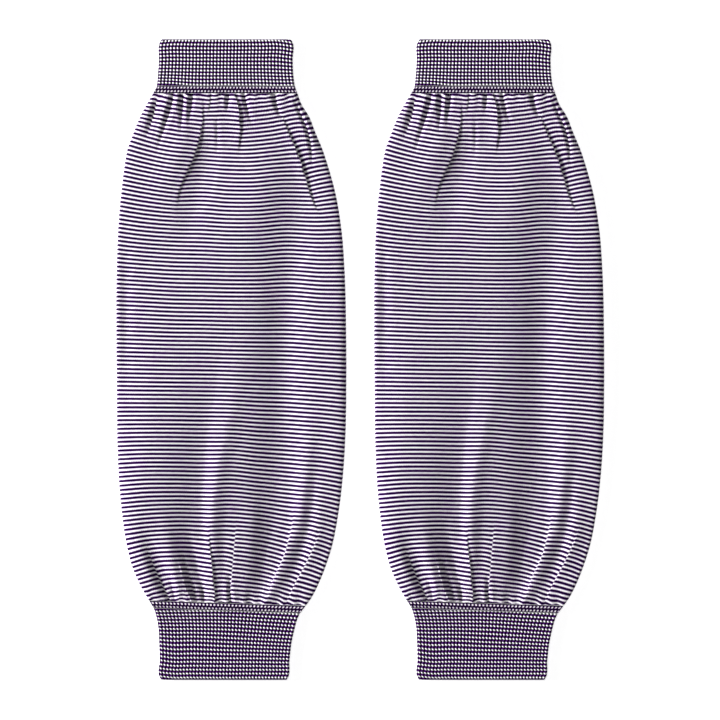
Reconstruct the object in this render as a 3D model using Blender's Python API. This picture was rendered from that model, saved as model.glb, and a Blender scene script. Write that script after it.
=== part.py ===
"""A pair of striped knitted sleeves with ribbed cuffs, lying flat on a table.

Each sleeve is a wide knitted tube, gathered at both ends into a narrower ribbed cuff. Between the
tube and each cuff runs a dark band of linking courses. The sleeve lies pressed flat, its front layer
on its back layer, with folds that fan out of the gathers. X runs across the sleeves, Y along them
with the upper cuffs at +Y, and Z up from the table. All sizes are in metres.
"""

import bpy
import numpy as np

# Driving sizes of one sleeve and of the pair.
SLEEVE_LENGTH = 0.400
SLEEVE_SPACING = 0.161
UPPER_CUFF_HEIGHT = 0.0290
LOWER_CUFF_HEIGHT = 0.0430
BAND_HEIGHT = 0.0050
SEAM_GAP = 0.0003

# Cloth thicknesses, the slack left between the front and back layers where they lie pressed
# together, and the highest that a fold of the body stands over the table.
BODY_WALL = 0.0016
CUFF_WALL = 0.0019
LAYER_GAP = 0.0003
BODY_HIGHEST = 0.0080

# Ribs of the cuffs, the drop of the top face where it rounds into a hem, the length of that
# rounding, and how far a joining band swells over the cuff beside it.
RIB_PITCH = 0.0020
RIB_DEPTH = 0.0006
HEM_DROP = 0.0003
HEM_ROUND = 0.0018
BAND_SWELL = 0.0006

MM = 0.001

# Outline of a flat sleeve from above, in mm. station is the distance from the upper hem, left and
# right are measured from the sleeve's middle line, and skew is how far the right edge of a knitted
# course lies below its middle.
OUTLINE_COLUMNS = ("station", "left", "right", "skew")
OUTLINE = (
    (0.0, -43.6, 37.6, 0.0),
    (1.8, -44.6, 38.5, 0.0),
    (13.0, -45.3, 38.6, 0.0),
    (24.0, -46.1, 39.2, 0.0),
    (30.0, -46.9, 40.2, 0.0),
    (34.0, -49.0, 41.6, 0.0),
    (40.5, -52.8, 44.6, 0.0),
    (48.0, -56.8, 48.6, 0.0),
    (58.0, -61.0, 53.1, 0.0),
    (69.0, -64.9, 57.2, 0.0),
    (82.0, -67.1, 61.4, 0.0),
    (94.0, -68.6, 64.7, 0.0),
    (119.0, -70.7, 69.0, 0.0),
    (144.0, -71.6, 70.9, 0.0),
    (182.0, -71.8, 71.9, 0.0),
    (220.0, -71.5, 72.0, 0.0),
    (244.0, -71.3, 71.6, 0.0),
    (269.0, -70.5, 70.2, 0.0),
    (294.0, -68.5, 67.4, 0.0),
    (319.0, -64.7, 62.3, 0.4),
    (330.0, -61.6, 58.9, 0.8),
    (340.0, -57.2, 54.9, 1.2),
    (348.0, -52.9, 50.6, 1.5),
    (353.0, -50.0, 46.9, 1.6),
    (357.0, -48.0, 43.8, 1.6),
    (361.0, -46.8, 41.8, 1.4),
    (367.0, -45.8, 39.8, 1.1),
    (377.0, -45.1, 37.8, 0.6),
    (388.0, -44.8, 36.6, 0.3),
    (398.5, -44.7, 35.7, 0.0),
    (400.0, -43.8, 34.9, 0.0),
)

# Height of the body's top face over the table, in mm, at its side folds and along its middle.
LOFT_COLUMNS = ("station", "edge", "crown")
LOFT = (
    (34.0, 3.9, 4.2),
    (38.0, 3.9, 5.3),
    (48.0, 3.9, 6.0),
    (70.0, 3.9, 6.0),
    (110.0, 3.9, 5.7),
    (180.0, 3.9, 5.6),
    (250.0, 3.9, 5.8),
    (300.0, 3.9, 6.0),
    (335.0, 3.9, 6.0),
    (347.0, 3.9, 5.3),
    (352.0, 3.9, 4.2),
)

# Creases of the front layer, in mm, counted from left to right. A crease runs from station start to
# station end and is deepest at station peak. Its line passes x1 to x5 at five evenly spaced
# stations, and the mesh column of that number follows it. Beside it the cloth swells up by left and
# right.
CREASE_COLUMNS = ("column", "start", "peak", "end", "x1", "x2", "x3", "x4", "x5", "width", "depth",
                  "left", "right")
CREASES = (
    # Fanning out of the upper gathers.
    (6, 30, 44, 72, -35.4, -37.6, -40.4, -43.4, -46.2, 1.8, 0.9, 0.3, 0.3),
    (10, 30, 42, 64, -28.8, -30.2, -30.6, -31.0, -31.4, 1.6, 1.0, 0.3, 0.3),
    (12, 28, 35, 50, -23.8, -24.6, -25.2, -25.9, -26.5, 1.3, 1.8, 0.0, 0.3),
    (15, 30, 66, 117, -18.3, -18.1, -23.4, -32.2, -33.8, 1.6, 2.0, 0.8, 0.2),
    (21, 40, 56, 80, -8.6, -8.5, -8.4, -8.6, -9.0, 1.4, 0.6, 0.2, 0.2),
    (24, 28, 36, 48, -2.0, -2.0, -2.1, -2.2, -2.3, 1.1, 1.8, 0.2, 0.2),
    (27, 28, 44, 78, 1.2, 3.5, 5.1, 5.2, 2.6, 1.4, 1.6, 0.5, 0.2),
    (30, 28, 36, 58, 7.3, 8.2, 9.8, 12.2, 16.0, 1.3, 1.5, 0.2, 0.2),
    (38, 28, 36, 54, 26.6, 27.0, 28.0, 30.0, 32.6, 1.2, 1.8, 0.2, 0.2),
    (40, 36, 80, 116, 28.8, 36.2, 43.4, 50.0, 58.0, 1.8, 2.0, 0.8, 0.2),
    (45, 34, 62, 86, 38.0, 44.4, 49.6, 51.9, 51.0, 1.4, 1.4, 0.4, 0.0),
    # Fanning out of the lower gathers.
    (4, 310, 344, 358, -54.0, -50.6, -46.0, -40.6, -33.6, 1.9, 1.3, 0.1, 0.5),
    (8, 326, 346, 358, -40.5, -38.5, -36.6, -34.8, -33.0, 1.3, 0.8, 0.2, 0.2),
    (13, 296, 340, 358, -38.6, -34.6, -30.4, -26.4, -20.2, 1.8, 1.4, 0.6, 0.2),
    (16, 334, 348, 358, -18.4, -17.8, -17.2, -16.6, -16.0, 1.2, 1.2, 0.2, 0.2),
    (20, 296, 342, 360, -14.6, -13.2, -11.6, -10.0, -8.6, 2.0, 2.2, 0.7, 0.1),
    (24, 304, 334, 360, 2.8, 2.4, 1.6, -0.2, -2.4, 1.4, 0.9, 0.1, 0.4),
    (36, 286, 326, 358, 39.6, 38.4, 34.2, 24.8, 19.4, 1.6, 1.1, 0.1, 0.5),
    (42, 296, 334, 358, 57.5, 54.0, 47.2, 38.5, 31.0, 1.6, 1.1, 0.1, 0.5),
)

# Broad soft folds along the body, in mm, each falling away over its own width on either side. They
# run through the mesh columns. A positive depth is a trough and a negative one a ridge.
SOFT_COLUMNS = ("start", "peak", "end", "x1", "x2", "x3", "x4", "x5", "left", "right", "depth")
SOFT_FOLDS = (
    # Down the whole body, and the ridge and trough on its left.
    (70, 230, 358, 56.0, 38.0, 34.0, 31.0, 23.0, 15.0, 10.0, 2.0),
    (175, 295, 360, 8.0, -1.0, -9.0, -15.4, -10.6, 3.4, 6.0, -1.8),
    (170, 300, 358, -8.0, -15.0, -19.5, -20.5, -16.0, 13.0, 4.0, 1.2),
    (120, 265, 358, -38.0, -46.0, -48.0, -38.0, -33.0, 12.0, 14.0, -1.6),
    (88, 170, 245, -64.5, -65.0, -65.0, -65.0, -65.0, 4.0, 3.0, 1.0),
    (90, 190, 310, 60.0, 62.0, 63.0, 62.0, 58.0, 8.0, 4.0, -0.8),
    # Below the upper gathers.
    (52, 88, 145, -10.0, -15.0, -21.0, -27.0, -40.0, 10.0, 7.0, 1.2),
    (48, 90, 165, 22.0, 20.0, 14.0, 4.0, -4.0, 17.0, 15.0, -1.6),
    (42, 66, 112, -34.0, -30.0, -34.0, -42.0, -42.0, 11.0, 8.0, -1.6),
    # Above the lower gathers.
    (215, 300, 358, 50.0, 46.0, 40.0, 34.0, 19.0, 3.0, 6.0, -1.6),
    (250, 312, 352, 58.0, 55.8, 54.0, 47.3, 33.0, 3.0, 4.0, -1.3),
    (280, 318, 360, 10.0, 9.0, 7.6, 4.6, 1.0, 3.0, 8.0, -1.5),
    (275, 325, 358, 5.0, 2.0, -2.0, -4.0, -4.0, 5.0, 3.0, 1.1),
    (296, 340, 362, -55.0, -52.0, -47.5, -39.5, -29.5, 5.0, 2.5, 1.6),
    (290, 340, 362, -39.0, -36.5, -32.8, -28.4, -21.6, 5.0, 2.6, 1.4),
    (300, 342, 362, -26.0, -24.5, -22.6, -19.6, -15.0, 5.0, 2.4, 1.2),
    (305, 344, 362, 33.0, 30.0, 26.0, 20.0, 13.0, 6.0, 3.0, 1.4),
)

# Points around a ring: across the front, across the back and round each side fold.
BODY_FRONT, BAND_FRONT = 46, 24
CUFF_INSIDE_FRONT = 20
BODY_BACK, CUFF_BACK, SIDE_STEPS = 6, 8, 4

# Stations of the rings of the body, in mm: close together in the gathers, wide apart between them.
BODY_STATIONS = (34.0, 36.2, 39.5, 44.0, 50.0, 57.0, 65.0, 74.0, 85.0, 99.0, 118.0, 150.0,
                 195.0, 240.0, 270.0, 290.0, 306.0, 319.0, 329.0, 337.0, 343.5, 348.0, 350.4, 352.0)

# Stations of the rings of the cuffs, with one ring close to each hem to round it.
UPPER_CUFF_STATIONS = (0.0, 0.0016, 0.015, UPPER_CUFF_HEIGHT)
LOWER_CUFF_STATIONS = (SLEEVE_LENGTH - LOWER_CUFF_HEIGHT, 0.365, 0.380, SLEEVE_LENGTH - 0.0016,
                       SLEEVE_LENGTH)


def table(rows, columns):
    """The columns of a table in mm as a dict of arrays in metres."""
    return dict(zip(columns, np.array(rows).T * MM))


def smooth_through(at, stations, values):
    """A smooth curve through the points (stations, values), read at the places at: cubic pieces
    whose slope at each point is the slope of the line between its two neighbours."""
    slopes = np.gradient(values, stations)
    at = np.clip(at, stations[0], stations[-1])
    i = np.clip(np.searchsorted(stations, at) - 1, 0, len(stations) - 2)
    span = stations[i + 1] - stations[i]
    t = (at - stations[i]) / span
    return (values[i] * (1 + 2 * t) * (1 - t) ** 2 + slopes[i] * span * t * (1 - t) ** 2
            + values[i + 1] * t * t * (3 - 2 * t) - slopes[i + 1] * span * t * t * (1 - t))


def ease(t):
    """0 up to t = 0, 1 from t = 1, and a smooth step between them."""
    t = np.clip(t, 0, 1)
    return t * t * (3 - 2 * t)


OUTLINE_OF = table(OUTLINE, OUTLINE_COLUMNS)
LOFT_OF = table(LOFT, LOFT_COLUMNS)
CREASES_OF = [dict(zip(CREASE_COLUMNS, np.array(row) * MM)) for row in CREASES]
SOFT_OF = [dict(zip(SOFT_COLUMNS, np.array(row) * MM)) for row in SOFT_FOLDS]


def outline(station, column):
    return smooth_through(station, OUTLINE_OF["station"], OUTLINE_OF[column])


def loft(station, column):
    return smooth_through(station, LOFT_OF["station"], LOFT_OF[column])


def fold_line(fold, station):
    """Where the middle of a fold lies across the sleeve."""
    share = np.clip((station - fold["start"]) / (fold["end"] - fold["start"]), 0, 1)
    points = np.array([fold["x%d" % n] for n in range(1, 6)])
    return smooth_through(share, np.linspace(0, 1, 5), points)


def fold_strength(fold, station):
    """0 at both ends of a fold and 1 at its peak."""
    rise = ease((station - fold["start"]) / (fold["peak"] - fold["start"]))
    fall = ease((fold["end"] - station) / (fold["end"] - fold["peak"]))
    return rise * fall


def fold_height(x, station):
    """Sum of all folds at a point of the front layer. With t the distance from the line over the
    fold's width, a crease is a groove exp(-|t| ** 1.5) between two swells exp(-(|t| - 2.2) ** 2 / 2),
    and a soft fold is exp(-t * t) with a width of its own on either side."""
    height = np.zeros_like(x)
    for crease in CREASES_OF:
        t = (x - fold_line(crease, station)) / crease["width"]
        groove = crease["depth"] * np.exp(-np.abs(t) ** 1.5)
        swells = (crease["left"] * np.exp(-(t + 2.2) ** 2 / 2)
                  + crease["right"] * np.exp(-(t - 2.2) ** 2 / 2))
        height += fold_strength(crease, station) * (swells - groove)
    for soft in SOFT_OF:
        off = x - fold_line(soft, station)
        t = off / np.where(off < 0, soft["left"], soft["right"])
        height -= fold_strength(soft, station) * soft["depth"] * np.exp(-t * t)
    return height


def body_top(x, station):
    """Height of the body's top face: a low crown between the side folds with the folds on it, and
    never so low that the front layer would sink into the back one."""
    left, right = outline(station, "left"), outline(station, "right")
    across = np.clip((2 * x - left - right) / (right - left), -1, 1)
    edge, crown = loft(station, "edge"), loft(station, "crown")
    dome = (1 - across ** 4) ** 1.5
    folds = fold_height(x, station) * ease((1 - np.abs(across)) / 0.06)
    lowest = 2 * BODY_WALL + LAYER_GAP
    return np.clip(edge + (crown - edge) * dome + folds, lowest, BODY_HIGHEST)


def body_columns(station, first, last):
    """Where the columns of the body's front lie from first to last: along the creases that pass
    this station, and evenly spaced between them."""
    passing = [c for c in CREASES_OF if c["start"] < station < c["end"]]
    passing.sort(key=lambda crease: crease["column"])
    columns = [0] + [round(c["column"] / MM) for c in passing] + [BODY_FRONT]
    places = [first] + [float(fold_line(c, station)) for c in passing] + [last]
    return np.interp(np.arange(BODY_FRONT + 1), columns, places)


def inner_face(x, top, wall):
    """Height of the inner face under a top face: the wall's thickness down, measured square to the
    slope, and never into the back layer."""
    slope = np.gradient(top, x)
    return np.maximum(top - wall * np.sqrt(1 + slope ** 2), wall + LAYER_GAP)


def cuff_top(x, station):
    """Height of a cuff's top face over its rib valleys: level, and rounded down at its hem."""
    from_hem = np.minimum(station, SLEEVE_LENGTH - station)
    drop = HEM_DROP * (1 - ease(from_hem / HEM_ROUND))
    return 2 * CUFF_WALL + LAYER_GAP - RIB_DEPTH - drop + 0 * x


def band_top(x, station):
    """Height of a joining band's top face: a rounded welt a little above the cuff."""
    middles = np.array([UPPER_CUFF_HEIGHT + BAND_HEIGHT / 2,
                        SLEEVE_LENGTH - LOWER_CUFF_HEIGHT - BAND_HEIGHT / 2])
    off_middle = np.min(np.abs(station - middles)) / (BAND_HEIGHT / 2)
    return 2 * CUFF_WALL + LAYER_GAP + BAND_SWELL * (1 - off_middle ** 2) + 0 * x


def ring(station, top, edge_height, wall, inset, front_x, back_steps):
    """The closed section of a flattened tube at a station, clockwise seen from the lower hem.

    The front runs over the places front_x at the heights top, each side fold is half an ellipse as
    high as edge_height, and the back lies level. inset is 0 for the outer face and the wall's
    thickness for the inner one."""
    left = outline(station, "left") + inset
    right = outline(station, "right") - inset
    half_height = edge_height / 2 - inset
    middle = edge_height / 2

    front_z = top.copy() if inset == 0 else inner_face(front_x, top, wall)
    front_z[[0, -1]] = middle + half_height

    angle = np.linspace(np.pi / 2, -np.pi / 2, SIDE_STEPS + 1)[1:-1]
    right_x = front_x[-1] + (right - front_x[-1]) * np.cos(angle)
    left_x = front_x[0] - (front_x[0] - left) * np.cos(angle[::-1])
    side_z = middle + half_height * np.sin(angle)
    back_x = np.linspace(front_x[-1], front_x[0], back_steps + 1)
    back_z = np.full(back_steps + 1, inset)

    x = np.concatenate([front_x, right_x, back_x, left_x])
    z = np.concatenate([front_z, side_z, back_z, side_z[::-1]])
    across = (2 * x - left - right) / (right - left)
    y = SLEEVE_LENGTH / 2 - station - outline(station, "skew") * across
    return np.column_stack([x, y, z])


def front_ends(station, edge_height):
    """Where the level front ends and the side folds begin, half a height in from the outline."""
    side = edge_height / 2
    return outline(station, "left") + side, outline(station, "right") - side


def zip_rings(first, first_at, second, second_at):
    """Triangles that join two closed rings of unequal counts, given the vertex numbers of each
    and how far round each vertex lies, from 0 to 1."""
    triangles = []
    i = j = 0
    while i < len(first) or j < len(second):
        next_first = first_at[i + 1] if i + 1 < len(first) else 1.0
        next_second = second_at[j + 1] if j + 1 < len(second) else 1.0
        a, b = first[i % len(first)], second[j % len(second)]
        if j == len(second) or (i < len(first) and next_first <= next_second):
            triangles.append((a, first[(i + 1) % len(first)], b))
            i += 1
        else:
            triangles.append((a, second[(j + 1) % len(second)], b))
            j += 1
    return triangles


def round_places(front_steps, back_steps):
    """How far round a ring each of its points lies, so that rings of unequal counts line up:
    the front takes the first 0.45, and each side fold 0.05."""
    front = np.linspace(0.0, 0.45, front_steps + 1)
    right_side = np.linspace(0.45, 0.50, SIDE_STEPS + 1)[1:-1]
    back = np.linspace(0.50, 0.95, back_steps + 1)
    left_side = np.linspace(0.95, 1.0, SIDE_STEPS + 1)[1:-1]
    return np.concatenate([front, right_side, back, left_side])


def tube_faces(first_vertex, rings, points, outwards):
    """Quads between consecutive rings that all hold the same number of points."""
    k = np.arange(points)
    after = (k + 1) % points
    faces = []
    for r in range(rings - 1):
        here, there = first_vertex + r * points, first_vertex + (r + 1) * points
        corners = [here + k, there + k, there + after, here + after]
        if not outwards:
            corners = corners[::-1]
        faces.extend(zip(*[c.tolist() for c in corners]))
    return faces


def wall_mesh(name, outer_rings, inner_rings, front_steps, inner_front_steps, back_steps):
    """A tube of cloth with both ends open: its outer face, its inner face and its two rims."""
    outer_points, inner_points = len(outer_rings[0]), len(inner_rings[0])
    inner_start = len(outer_rings) * outer_points
    faces = tube_faces(0, len(outer_rings), outer_points, True)
    faces += tube_faces(inner_start, len(inner_rings), inner_points, False)

    outer_at = round_places(front_steps, back_steps)
    inner_at = round_places(inner_front_steps, back_steps)
    outer_k, inner_k = np.arange(outer_points), inner_start + np.arange(inner_points)
    upper_rim = zip_rings(outer_k, outer_at, inner_k, inner_at)
    outer_k += (len(outer_rings) - 1) * outer_points
    inner_k += (len(inner_rings) - 1) * inner_points
    lower_rim = zip_rings(outer_k, outer_at, inner_k, inner_at)
    faces += [tuple(int(v) for v in corners) for corners in upper_rim]
    faces += [tuple(int(v) for v in corners[::-1]) for corners in lower_rim]

    mesh = bpy.data.meshes.new(name)
    mesh.from_pydata(np.concatenate(outer_rings + inner_rings).tolist(), [], faces)
    mesh.validate()
    mesh.shade_smooth()
    mesh.set_sharp_from_angle(angle=np.radians(40))
    return mesh


def body_mesh():
    """The striped tube. Its inner face follows the creases of its outer face, a wall inside."""
    outer, inner = [], []
    for station in np.array(BODY_STATIONS) * MM:
        edge = float(loft(station, "edge"))
        front_x = body_columns(station, *front_ends(station, edge))
        top = body_top(front_x, station)
        outer.append(ring(station, top, edge, BODY_WALL, 0.0, front_x, BODY_BACK))
        inner.append(ring(station, top, edge, BODY_WALL, BODY_WALL, front_x, BODY_BACK))
    return wall_mesh("body", outer, inner, BODY_FRONT, BODY_FRONT, BODY_BACK)


def cuff_mesh(name, stations):
    """A ribbed tube with rings at the stations. Its ribs run its whole height on the front, its
    inside is plain and its back lies level on the table."""
    height = 2 * CUFF_WALL + LAYER_GAP
    cuff_width = outline(stations[0], "right") - outline(stations[0], "left")
    front_steps = 2 * round(float(cuff_width) / RIB_PITCH)
    ribs = RIB_DEPTH * (np.arange(front_steps + 1) % 2)
    outer, inner = [], []
    for station in stations:
        front_x = np.linspace(*front_ends(station, height), front_steps + 1)
        top = cuff_top(front_x, station)
        outer.append(ring(station, top + ribs, height - RIB_DEPTH, CUFF_WALL, 0.0, front_x, CUFF_BACK))
    for station in (stations[0], stations[-1]):
        front_x = np.linspace(*front_ends(station, height), CUFF_INSIDE_FRONT + 1)
        top = np.full(CUFF_INSIDE_FRONT + 1, height)
        inner.append(ring(station, top, height, CUFF_WALL, CUFF_WALL, front_x, CUFF_BACK))
    return wall_mesh(name, outer, inner, front_steps, CUFF_INSIDE_FRONT, CUFF_BACK)


def band_mesh(name, first, last):
    """A narrow ring of linking courses from station first to station last."""
    height = 2 * CUFF_WALL + LAYER_GAP
    outer, inner = [], []
    for station in np.linspace(first, last, 4):
        front_x = np.linspace(*front_ends(station, height), BAND_FRONT + 1)
        top = band_top(front_x, station)
        outer.append(ring(station, top, height, CUFF_WALL, 0.0, front_x, CUFF_BACK))
    for station in (first, last):
        front_x = np.linspace(*front_ends(station, height), CUFF_INSIDE_FRONT + 1)
        top = np.full(CUFF_INSIDE_FRONT + 1, height)
        inner.append(ring(station, top, height, CUFF_WALL, CUFF_WALL, front_x, CUFF_BACK))
    return wall_mesh(name, outer, inner, BAND_FRONT, CUFF_INSIDE_FRONT, CUFF_BACK)


def knit_material(name, colour, roughness):
    material = bpy.data.materials.new(name)
    material.use_nodes = True
    shader = material.node_tree.nodes["Principled BSDF"]
    shader.inputs["Base Color"].default_value = (*colour, 1.0)
    shader.inputs["Roughness"].default_value = roughness
    shader.inputs["Metallic"].default_value = 0.0
    material.diffuse_color = (*colour, 1.0)
    return material


def sleeve_meshes():
    """The five pieces of a sleeve, from the upper hem to the lower one, as named meshes."""
    lower_cuff_start = SLEEVE_LENGTH - LOWER_CUFF_HEIGHT
    lower_band_start = lower_cuff_start - BAND_HEIGHT
    striped = knit_material("striped_knit", (0.40, 0.37, 0.43), 0.9)
    ribbed = knit_material("ribbed_knit", (0.25, 0.22, 0.28), 0.9)
    dark = knit_material("linking_courses", (0.17, 0.14, 0.21), 0.9)
    meshes = {
        "upper_cuff": (cuff_mesh("upper_cuff", UPPER_CUFF_STATIONS), ribbed),
        "upper_band": (band_mesh("upper_band", UPPER_CUFF_HEIGHT + SEAM_GAP,
                                 UPPER_CUFF_HEIGHT + BAND_HEIGHT - SEAM_GAP), dark),
        "body": (body_mesh(), striped),
        "lower_band": (band_mesh("lower_band", lower_band_start + SEAM_GAP,
                                 lower_cuff_start - SEAM_GAP), dark),
        "lower_cuff": (cuff_mesh("lower_cuff", LOWER_CUFF_STATIONS), ribbed),
    }
    for mesh, material in meshes.values():
        mesh.materials.append(material)
    return {name: mesh for name, (mesh, material) in meshes.items()}


def main():
    for thing in list(bpy.data.objects):
        bpy.data.objects.remove(thing)
    meshes = sleeve_meshes()

    # The pair is centred: its overall width runs from the left sleeve's left edge to the right
    # sleeve's right edge.
    reach = np.array(BODY_STATIONS) * MM
    middle = (outline(reach, "left").min() + outline(reach, "right").max() + SLEEVE_SPACING) / 2
    for side, x in (("left", -middle), ("right", SLEEVE_SPACING - middle)):
        sleeve = bpy.data.objects.new(side + "_sleeve", None)
        sleeve.location = (x, 0, 0)
        bpy.context.scene.collection.objects.link(sleeve)
        for name, mesh in meshes.items():
            piece = bpy.data.objects.new(side + "_" + name, mesh)
            bpy.context.scene.collection.objects.link(piece)
            piece.parent = sleeve


main()
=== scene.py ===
"""A pair of striped knitted sleeves with ribbed cuffs, lying flat side by side.

X runs across the pair, Y along the sleeves with the upper cuffs at +Y, and Z up from the table.
Lengths are in metres, and the tables are in millimetres.
"""

import bpy
import numpy as np
from mathutils import Matrix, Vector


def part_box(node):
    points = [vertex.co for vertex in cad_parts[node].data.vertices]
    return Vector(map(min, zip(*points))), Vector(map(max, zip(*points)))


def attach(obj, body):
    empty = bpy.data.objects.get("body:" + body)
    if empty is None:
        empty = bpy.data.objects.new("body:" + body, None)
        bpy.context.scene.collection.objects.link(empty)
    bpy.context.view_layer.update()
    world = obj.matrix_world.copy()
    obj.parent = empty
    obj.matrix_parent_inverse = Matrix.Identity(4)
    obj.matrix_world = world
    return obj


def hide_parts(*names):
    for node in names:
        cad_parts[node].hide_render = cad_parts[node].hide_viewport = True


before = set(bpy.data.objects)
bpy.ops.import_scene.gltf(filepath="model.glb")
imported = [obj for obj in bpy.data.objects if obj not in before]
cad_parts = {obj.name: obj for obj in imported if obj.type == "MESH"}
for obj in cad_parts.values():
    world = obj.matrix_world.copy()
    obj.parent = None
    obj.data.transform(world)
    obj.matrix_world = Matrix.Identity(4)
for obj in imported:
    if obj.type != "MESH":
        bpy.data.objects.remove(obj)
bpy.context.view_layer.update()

# The table and the light. The sleeves lie on a white table under two large soft lamps, one straight
# above and one low on the left that brings out the folds, and are seen from straight above.
TABLE_SIZE = 8.0
TABLE_DROP = 0.0002
TABLE_WHITE = (0.94, 0.94, 0.94, 1.0)
TABLE_ROUGHNESS = 0.9
TABLE_GLOW = 0.75
SKY_WHITE = (1.0, 1.0, 1.0, 1.0)
SKY_STRENGTH = 0.18
EYE = (-0.0001, -0.0003, 2.5)
LENS, SENSOR_WIDTH = 200.0, 36.0
LAMP_COLUMNS = ("x", "y", "z", "size", "watts")
LAMPS = {
    "overhead_lamp": (0.0, 0.1, 2.2, 1.6, 7.0),
    "left_lamp": (-3.7, 0.7, 1.05, 1.4, 472.0),
}

scene = bpy.context.scene
scene.view_settings.view_transform = "Standard"

table_mesh = bpy.data.meshes.new("table")
reach = TABLE_SIZE / 2
corners = ((-reach, -reach), (reach, -reach), (reach, reach), (-reach, reach))
table_mesh.from_pydata([(x, y, -TABLE_DROP) for x, y in corners], [], [(0, 1, 2, 3)])
table_top = bpy.data.objects.new("table_top", table_mesh)
scene.collection.objects.link(table_top)
table_material = bpy.data.materials.new("white_table")
table_material.use_nodes = True
table_shader = table_material.node_tree.nodes["Principled BSDF"]
table_shader.inputs["Base Color"].default_value = TABLE_WHITE
table_shader.inputs["Roughness"].default_value = TABLE_ROUGHNESS
table_shader.inputs["Specular IOR Level"].default_value = 0.0
table_shader.inputs["Emission Color"].default_value = TABLE_WHITE
table_shader.inputs["Emission Strength"].default_value = TABLE_GLOW
table_mesh.materials.append(table_material)

world = bpy.data.worlds.new("studio")
world.use_nodes = True
sky = world.node_tree.nodes["Background"]
sky.inputs["Color"].default_value = SKY_WHITE
sky.inputs["Strength"].default_value = SKY_STRENGTH
scene.world = world

for name, row in LAMPS.items():
    size_of = dict(zip(LAMP_COLUMNS, row))
    lamp = bpy.data.lights.new(name, "AREA")
    lamp.shape = "DISK"
    lamp.size = size_of["size"]
    lamp.energy = size_of["watts"]
    lamp_object = bpy.data.objects.new(name, lamp)
    lamp_object.location = [size_of[axis] for axis in "xyz"]
    lamp_object.rotation_euler = lamp_object.location.to_track_quat("Z", "Y").to_euler()
    scene.collection.objects.link(lamp_object)

camera = bpy.data.cameras.new("camera")
camera.lens, camera.sensor_width = LENS, SENSOR_WIDTH
camera_object = bpy.data.objects.new("camera", camera)
camera_object.location = EYE
scene.collection.objects.link(camera_object)
scene.camera = camera_object

# The striped body of each sleeve: a wide seamless tube of cotton string knit, one course purple and
# one white, pressed flat with its front layer on its back layer. Its ends are gathered onto the
# cuffs, and folds run from the gathers into the cloth.
MM = 0.001
SLEEVE_LENGTH = 0.400
BODY_FROM, BODY_TO = 0.0340, 0.3520
BODY_WALL = 0.0010
LAYER_GAP = 0.0003
BODY_HIGHEST = 0.0086

# How far a side fold reaches out, as a share of half its height, how square the crown of the front
# is, and the share of the half width over which the folds die away at the side folds.
FOLD_PRESSED = 0.30
CROWN_POWERS = (32, 1.5)
EDGE_SHARE = 0.06

# The stitches: wales round the tube, the pitch of a purple and a white course together, the station
# of pair 0 and the span of the pairs' numbers, the purple one's share, and how deep the cloth sinks
# between two courses.
BODY_WALES = 204
PAIR_PITCH = 0.00259
FIRST_PAIR = 0.0353
BODY_PAIRS = (-2, 123)
PURPLE_SHARE = 0.60
COURSE_RELIEF = 0.00014

# Outline of a flat sleeve from above, in mm. station is the distance from the upper hem, left and
# right are measured from the sleeve's middle line, and skew is how far the right edge of a knitted
# course lies below its middle.
OUTLINE_COLUMNS = ("station", "left", "right", "skew")
OUTLINE = (
    (0.0, -43.6, 37.6, 0.0),
    (1.8, -44.6, 38.5, 0.0),
    (13.0, -45.3, 38.6, 0.0),
    (24.0, -46.1, 39.2, 0.0),
    (30.0, -46.9, 40.2, 0.0),
    (34.0, -49.0, 41.6, 0.0),
    (40.5, -52.8, 44.0, 0.0),
    (48.0, -56.8, 48.6, 0.0),
    (58.0, -61.0, 52.6, 0.0),
    (69.0, -64.9, 57.2, 0.0),
    (82.0, -67.1, 61.4, 0.0),
    (94.0, -68.6, 64.7, 0.0),
    (119.0, -70.7, 69.0, 0.0),
    (144.0, -71.6, 70.9, 0.0),
    (182.0, -71.8, 71.9, 0.0),
    (220.0, -71.5, 72.0, 0.0),
    (244.0, -71.3, 71.6, 0.0),
    (269.0, -70.5, 70.2, 0.0),
    (294.0, -68.5, 67.4, 0.0),
    (319.0, -64.7, 62.3, 0.4),
    (330.0, -61.9, 58.5, 0.8),
    (340.0, -57.9, 54.2, 1.2),
    (348.0, -53.8, 49.8, 1.5),
    (353.0, -50.9, 46.1, 1.6),
    (357.0, -48.5, 43.2, 1.6),
    (361.0, -47.1, 41.4, 1.4),
    (367.0, -45.8, 39.8, 1.1),
    (377.0, -45.1, 37.8, 0.6),
    (388.0, -44.8, 36.6, 0.3),
    (398.5, -44.7, 35.7, 0.0),
    (400.0, -43.8, 34.9, 0.0),
)

# Height of the body's left and right side folds over the table, in mm, and how far its front rises
# over the line between them.
LOFT_COLUMNS = ("station", "left", "right", "rise")
LOFT = (
    (34.0, 3.9, 3.9, 0.3),
    (38.0, 4.2, 4.2, 0.9),
    (48.0, 4.6, 4.6, 1.0),
    (70.0, 4.9, 4.9, 0.8),
    (110.0, 4.9, 4.9, 0.6),
    (180.0, 4.9, 4.9, 0.5),
    (230.0, 5.2, 4.5, 0.6),
    (260.0, 5.6, 4.0, 0.8),
    (300.0, 5.8, 3.5, 1.0),
    (335.0, 5.2, 3.4, 1.0),
    (347.0, 4.4, 3.6, 0.9),
    (352.0, 3.9, 3.9, 0.3),
)

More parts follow.
